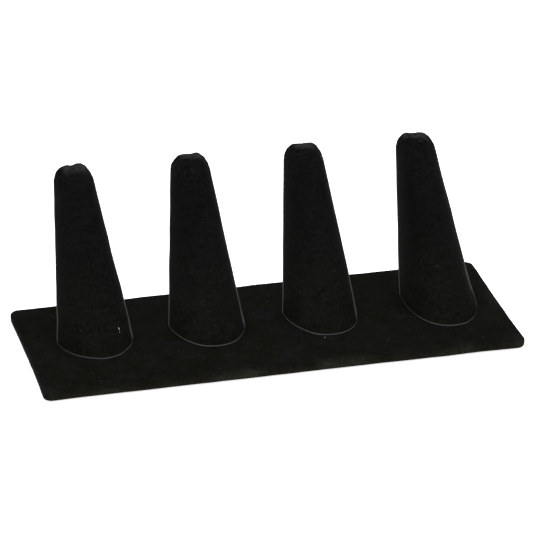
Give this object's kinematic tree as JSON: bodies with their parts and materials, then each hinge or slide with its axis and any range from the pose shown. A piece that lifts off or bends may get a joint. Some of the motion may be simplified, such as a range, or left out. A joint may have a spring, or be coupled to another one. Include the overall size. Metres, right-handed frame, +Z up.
{
  "type": "ring display stand",
  "caption": "Ring display stand: a flat velvet-wrapped base carries a row of tapered velvet-covered fingers that lean back and hold rings.",
  "frame": {"origin": "centre of the base's underside, on the surface that the stand rests on", "axes": "+X along the row of fingers to the right, +Y to the back, the way the fingers lean, +Z up"},
  "size_m": [0.2046, 0.0776, 0.0705],
  "materials": {
    "base_velvet": "black velvet, slightly worn and dusty",
    "finger_velvet": "black velvet",
    "hardboard": "smooth brown hardboard",
    "lining_paper": "matt black paper",
    "core_plastic": "moulded, matt",
    "screw_steel": "zinc plated"
  },
  "bodies": {
    "root": {"base_board": "hardboard", "base_velvet": "base_velvet", "base_lining": "lining_paper", "finger_core_1": "core_plastic", "finger_core_2": "core_plastic", "finger_core_3": "core_plastic", "finger_core_4": "core_plastic", "finger_velvet_1": "finger_velvet", "finger_velvet_2": "finger_velvet", "finger_velvet_3": "finger_velvet", "finger_velvet_4": "finger_velvet", "finger_screws": "screw_steel"}
  },
  "joints": []
}
